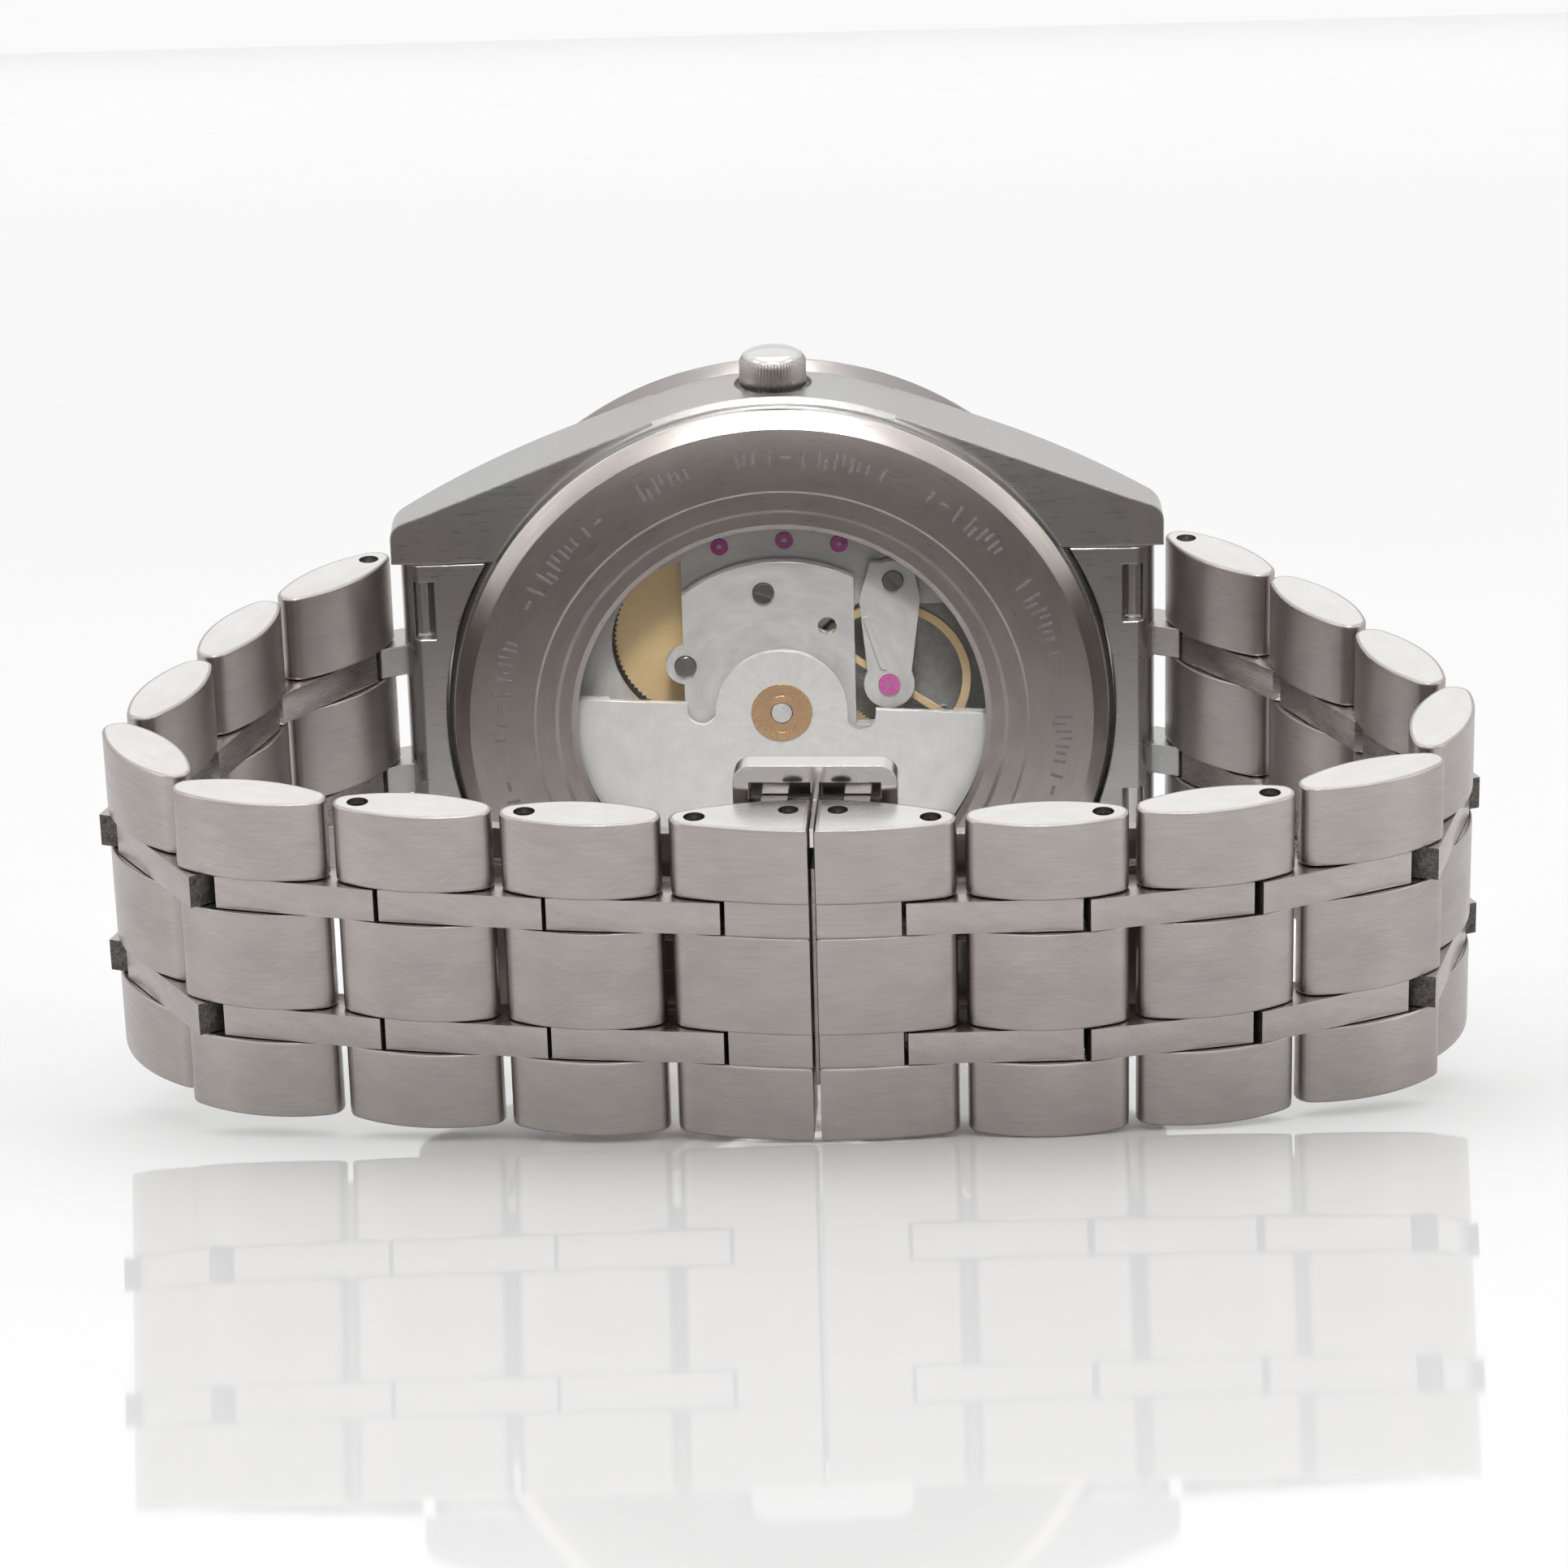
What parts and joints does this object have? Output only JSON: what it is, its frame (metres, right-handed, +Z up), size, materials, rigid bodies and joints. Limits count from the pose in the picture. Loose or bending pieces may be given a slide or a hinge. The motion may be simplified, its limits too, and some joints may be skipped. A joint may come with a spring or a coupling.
{
  "type": "wristwatch",
  "caption": "Round steel automatic wristwatch on a tapering link bracelet with a push-button butterfly clasp and a see-through case back, lying on its side.",
  "frame": {"origin": "centre of the bounding box on the surface the watch lies on", "axes": "+X towards twelve o'clock, along the length; +Y from the clasp towards the watch head; +Z up, leaning towards the crown side"},
  "size_m": [0.0756, 0.0512, 0.0407],
  "materials": {
    "brushed_steel": "fine satin brushing",
    "link_steel": "satin brushed along the bracelet, bright edges",
    "polished_steel": "mirror polished",
    "sapphire": "clear, thin coating",
    "gasket_rubber": "matt",
    "dial_paint": "satin dark lacquer",
    "marker_steel": "polished",
    "plated_movement": "rhodium plated, light matt graining",
    "screw_steel": "polished",
    "gold_plate": "gilt, satin",
    "ruby": "polished synthetic ruby"
  },
  "bodies": {
    "case": {"mid_case": "brushed_steel", "bezel": "polished_steel", "crystal": "sapphire", "crystal_gasket": "gasket_rubber", "dial_ring": "dial_paint", "dial": "dial_paint", "dial_markers": "marker_steel", "movement_ring": "plated_movement", "main_plate": "plated_movement", "train_bridge": "plated_movement", "automatic_bridge": "plated_movement", "balance_cock": "plated_movement", "bridge_screws": "screw_steel", "jewels": "ruby", "caseback": "brushed_steel", "caseback_glass": "sapphire", "caseback_gasket": "gasket_rubber", "crown_tube": "polished_steel", "end_link_left": "brushed_steel", "end_link_right": "brushed_steel", "spring_bars": "polished_steel"},
    "setting_lever": {"setting_lever": "plated_movement"},
    "crown": {"crown": "polished_steel", "winding_stem": "polished_steel"},
    "seconds_hand": {"seconds_hand": "marker_steel"},
    "minute_hand": {"minute_hand": "marker_steel"},
    "hour_hand": {"hour_hand": "marker_steel"},
    "rotor": {"rotor": "plated_movement", "rotor_bearing": "gold_plate"},
    "barrel": {"barrel": "gold_plate"},
    "centre_wheel": {"centre_wheel": "gold_plate"},
    "third_wheel": {"third_wheel": "gold_plate"},
    "fourth_wheel": {"fourth_wheel": "gold_plate"},
    "escape_wheel": {"escape_wheel": "gold_plate"},
    "pallet_fork": {"pallet_fork": "screw_steel"},
    "balance": {"balance_wheel": "gold_plate", "hairspring": "screw_steel"},
    "clasp_link_left": {"clasp_link_left": "link_steel"},
    "clasp_link_right": {"clasp_link_right": "link_steel"},
    "clasp_arm_left": {"clasp_arm_left": "brushed_steel"},
    "clasp_arm_right": {"clasp_arm_right": "brushed_steel"},
    "clasp_base": {"clasp_base": "brushed_steel", "clasp_hinge_pins": "polished_steel", "button_spring": "polished_steel"},
    "clasp_button": {"clasp_button": "polished_steel"},
    "link_left_1": {"link_left_1": "link_steel"},
    "link_left_2": {"link_left_2": "link_steel"},
    "link_left_3": {"link_left_3": "link_steel"},
    "link_left_4": {"link_left_4": "link_steel"},
    "link_left_5": {"link_left_5": "link_steel"},
    "link_left_6": {"link_left_6": "link_steel"},
    "link_left_7": {"link_left_7": "link_steel"},
    "link_right_1": {"link_right_1": "link_steel"},
    "link_right_2": {"link_right_2": "link_steel"},
    "link_right_3": {"link_right_3": "link_steel"},
    "link_right_4": {"link_right_4": "link_steel"},
    "link_right_5": {"link_right_5": "link_steel"},
    "link_right_6": {"link_right_6": "link_steel"},
    "link_right_7": {"link_right_7": "link_steel"}
  },
  "joints": [
    {"name": "crown_pull", "type": "slide", "parent": "case", "child": "setting_lever", "axis": [0, -0.2656, 0.9641], "range_m": [0, 0.0012]},
    {"name": "crown_turn", "type": "hinge", "parent": "setting_lever", "child": "crown", "pos_m": [-0.00036, 0.01143, 0.03862], "axis": [0, -0.2656, 0.9641], "continuous": true},
    {"name": "seconds_turn", "type": "hinge", "parent": "case", "child": "seconds_hand", "pos_m": [-0.00036, 0.01967, 0.02056], "axis": [0, -0.9641, -0.2656], "continuous": true},
    {"name": "minute_turn", "type": "hinge", "parent": "case", "child": "minute_hand", "pos_m": [-0.00036, 0.01938, 0.02048], "axis": [0, -0.9641, -0.2656], "continuous": true},
    {"name": "hour_turn", "type": "hinge", "parent": "case", "child": "hour_hand", "pos_m": [-0.00036, 0.019, 0.02038], "axis": [0, -0.9641, -0.2656], "continuous": true},
    {"name": "rotor_turn", "type": "hinge", "parent": "case", "child": "rotor", "pos_m": [-0.00036, 0.01379, 0.01895], "axis": [0, -0.9641, -0.2656], "continuous": true},
    {"name": "barrel_turn", "type": "hinge", "parent": "case", "child": "barrel", "pos_m": [-0.00493, 0.01547, 0.02339], "axis": [0, -0.9641, -0.2656], "continuous": true},
    {"name": "centre_wheel_turn", "type": "hinge", "parent": "case", "child": "centre_wheel", "pos_m": [-0.00036, 0.01649, 0.01969], "axis": [0, -0.9641, -0.2656], "continuous": true},
    {"name": "third_wheel_turn", "type": "hinge", "parent": "case", "child": "third_wheel", "pos_m": [0.00214, 0.01764, 0.01551], "axis": [0, -0.9641, -0.2656], "continuous": true},
    {"name": "fourth_wheel_turn", "type": "hinge", "parent": "case", "child": "fourth_wheel", "pos_m": [0.00584, 0.01823, 0.01339], "axis": [0, -0.9641, -0.2656], "continuous": true},
    {"name": "escape_wheel_turn", "type": "hinge", "parent": "case", "child": "escape_wheel", "pos_m": [0.00884, 0.01756, 0.01583], "axis": [0, -0.9641, -0.2656], "continuous": true},
    {"name": "pallet_swing", "type": "hinge", "parent": "case", "child": "pallet_fork", "pos_m": [0.00814, 0.01719, 0.01827], "axis": [0, -0.9641, -0.2656], "range_deg": [-6, 6]},
    {"name": "balance_swing", "type": "hinge", "parent": "case", "child": "balance", "pos_m": [0.00604, 0.01531, 0.02061], "axis": [0, -0.9641, -0.2656], "range_deg": [-150, 150], "stiffness_Nm_per_rad": 0.0000004},
    {"name": "lug_hinge_right", "type": "hinge", "parent": "case", "child": "link_right_7", "pos_m": [0.02354, 0.01466, 0.01918], "axis": [0, 0.2656, -0.9641], "range_deg": [0, 12]},
    {"name": "hinge_right_6", "type": "hinge", "parent": "link_right_7", "child": "link_right_6", "pos_m": [0.02895, 0.00769, 0.01726], "axis": [0, -0.2656, 0.9641], "range_deg": [0, 4.92]},
    {"name": "hinge_right_5", "type": "hinge", "parent": "link_right_6", "child": "link_right_5", "pos_m": [0.03297, -0.00011, 0.01512], "axis": [0, -0.2656, 0.9641], "range_deg": [0, 4.46]},
    {"name": "hinge_right_4", "type": "hinge", "parent": "link_right_5", "child": "link_right_4", "pos_m": [0.03626, -0.00822, 0.01288], "axis": [0, -0.2656, 0.9641], "range_deg": [0, 33.04]},
    {"name": "hinge_right_3", "type": "hinge", "parent": "link_right_4", "child": "link_right_3", "pos_m": [0.03355, -0.01652, 0.0106], "axis": [0, -0.2656, 0.9641], "range_deg": [0, 51.44]},
    {"name": "hinge_right_2", "type": "hinge", "parent": "link_right_3", "child": "link_right_2", "pos_m": [0.02524, -0.01994, 0.00966], "axis": [0, -0.2656, 0.9641], "range_deg": [-16.3, 0]},
    {"name": "hinge_right_1", "type": "hinge", "parent": "link_right_2", "child": "link_right_1", "pos_m": [0.01638, -0.0216, 0.0092], "axis": [0, -0.2656, 0.9641], "range_deg": [-21.37, 0]},
    {"name": "hinge_right_0", "type": "hinge", "parent": "link_right_1", "child": "clasp_link_right", "pos_m": [0.00735, -0.02164, 0.00918], "axis": [0, -0.2656, 0.9641], "range_deg": [-17.33, 0]},
    {"name": "lug_hinge_left", "type": "hinge", "parent": "case", "child": "link_left_7", "pos_m": [-0.02426, 0.01466, 0.01918], "axis": [0, -0.2656, 0.9641], "range_deg": [0, 12]},
    {"name": "hinge_left_6", "type": "hinge", "parent": "link_left_7", "child": "link_left_6", "pos_m": [-0.03003, 0.00796, 0.01734], "axis": [0, 0.2656, -0.9641], "range_deg": [0, 5.65]},
    {"name": "hinge_left_5", "type": "hinge", "parent": "link_left_6", "child": "link_left_5", "pos_m": [-0.03322, -0.00018, 0.0151], "axis": [0, 0.2656, -0.9641], "range_deg": [0, 3.06]},
    {"name": "hinge_left_4", "type": "hinge", "parent": "link_left_5", "child": "link_left_4", "pos_m": [-0.03627, -0.00838, 0.01284], "axis": [0, 0.2656, -0.9641], "range_deg": [0, 48.26]},
    {"name": "hinge_left_3", "type": "hinge", "parent": "link_left_4", "child": "link_left_3", "pos_m": [-0.03156, -0.0158, 0.01079], "axis": [0, 0.2656, -0.9641], "range_deg": [0, 41.26]},
    {"name": "hinge_left_2", "type": "hinge", "parent": "link_left_3", "child": "link_left_2", "pos_m": [-0.02285, -0.01807, 0.01017], "axis": [0, 0.2656, -0.9641], "range_deg": [-31.1, 0]},
    {"name": "hinge_left_1", "type": "hinge", "parent": "link_left_2", "child": "link_left_1", "pos_m": [-0.01398, -0.0197, 0.00972], "axis": [0, 0.2656, -0.9641], "range_deg": [-25.96, 0]},
    {"name": "hinge_left_0", "type": "hinge", "parent": "link_left_1", "child": "clasp_link_left", "pos_m": [-0.00503, -0.02087, 0.0094], "axis": [0, 0.2656, -0.9641], "range_deg": [-14.43, 0]},
    {"name": "clasp_pivot_left", "type": "hinge", "parent": "clasp_link_left", "child": "clasp_arm_left", "pos_m": [-0.00008, -0.02031, 0.00955], "axis": [0, 0.2656, -0.9641], "range_deg": [0, 73.59]},
    {"name": "base_pivot_left", "type": "hinge", "parent": "clasp_arm_left", "child": "clasp_base", "pos_m": [-0.01676, -0.01497, 0.01102], "axis": [0, -0.2656, 0.9641], "range_deg": [0, 90]},
    {"name": "base_pivot_right", "type": "hinge", "parent": "clasp_base", "child": "clasp_arm_right", "pos_m": [0.01977, -0.01725, 0.01039], "axis": [0, -0.2656, 0.9641], "range_deg": [0, 90]},
    {"name": "button_press", "type": "slide", "parent": "clasp_base", "child": "clasp_button", "axis": [0, 0.2656, -0.9641], "range_m": [0, 0.0009], "stiffness_N_per_m": 900, "springref_m": -0.0012, "deforming": ["button_spring"]}
  ],
  "couplings": [
    {"joint": "barrel_turn", "follows": "seconds_turn", "ratio": -0.0020833},
    {"joint": "centre_wheel_turn", "follows": "seconds_turn", "ratio": 0.016667},
    {"joint": "third_wheel_turn", "follows": "seconds_turn", "ratio": -0.13333},
    {"joint": "fourth_wheel_turn", "follows": "seconds_turn", "ratio": 1},
    {"joint": "escape_wheel_turn", "follows": "seconds_turn", "ratio": -10},
    {"joint": "minute_turn", "follows": "seconds_turn", "ratio": 0.016667},
    {"joint": "hour_turn", "follows": "seconds_turn", "ratio": 0.0013889},
    {"joint": "lug_hinge_right", "follows": "lug_hinge_left", "ratio": 1},
    {"joint": "hinge_right_6", "follows": "lug_hinge_left", "ratio": 0.41005},
    {"joint": "hinge_right_5", "follows": "lug_hinge_left", "ratio": 0.37159},
    {"joint": "hinge_right_4", "follows": "lug_hinge_left", "ratio": 2.7533},
    {"joint": "hinge_right_3", "follows": "lug_hinge_left", "ratio": 4.2862},
    {"joint": "hinge_right_2", "follows": "lug_hinge_left", "ratio": -1.3579},
    {"joint": "hinge_right_1", "follows": "lug_hinge_left", "ratio": -1.781},
    {"joint": "hinge_right_0", "follows": "lug_hinge_left", "ratio": -1.4444},
    {"joint": "hinge_left_6", "follows": "lug_hinge_left", "ratio": 0.47047},
    {"joint": "hinge_left_5", "follows": "lug_hinge_left", "ratio": 0.25458},
    {"joint": "hinge_left_4", "follows": "lug_hinge_left", "ratio": 4.0216},
    {"joint": "hinge_left_3", "follows": "lug_hinge_left", "ratio": 3.4383},
    {"joint": "hinge_left_2", "follows": "lug_hinge_left", "ratio": -2.5915},
    {"joint": "hinge_left_1", "follows": "lug_hinge_left", "ratio": -2.163},
    {"joint": "hinge_left_0", "follows": "lug_hinge_left", "ratio": -1.2026},
    {"joint": "clasp_pivot_left", "follows": "lug_hinge_left", "ratio": 6.1325},
    {"joint": "base_pivot_left", "follows": "lug_hinge_left", "ratio": 7.5},
    {"joint": "base_pivot_right", "follows": "lug_hinge_left", "ratio": 7.5}
  ]
}
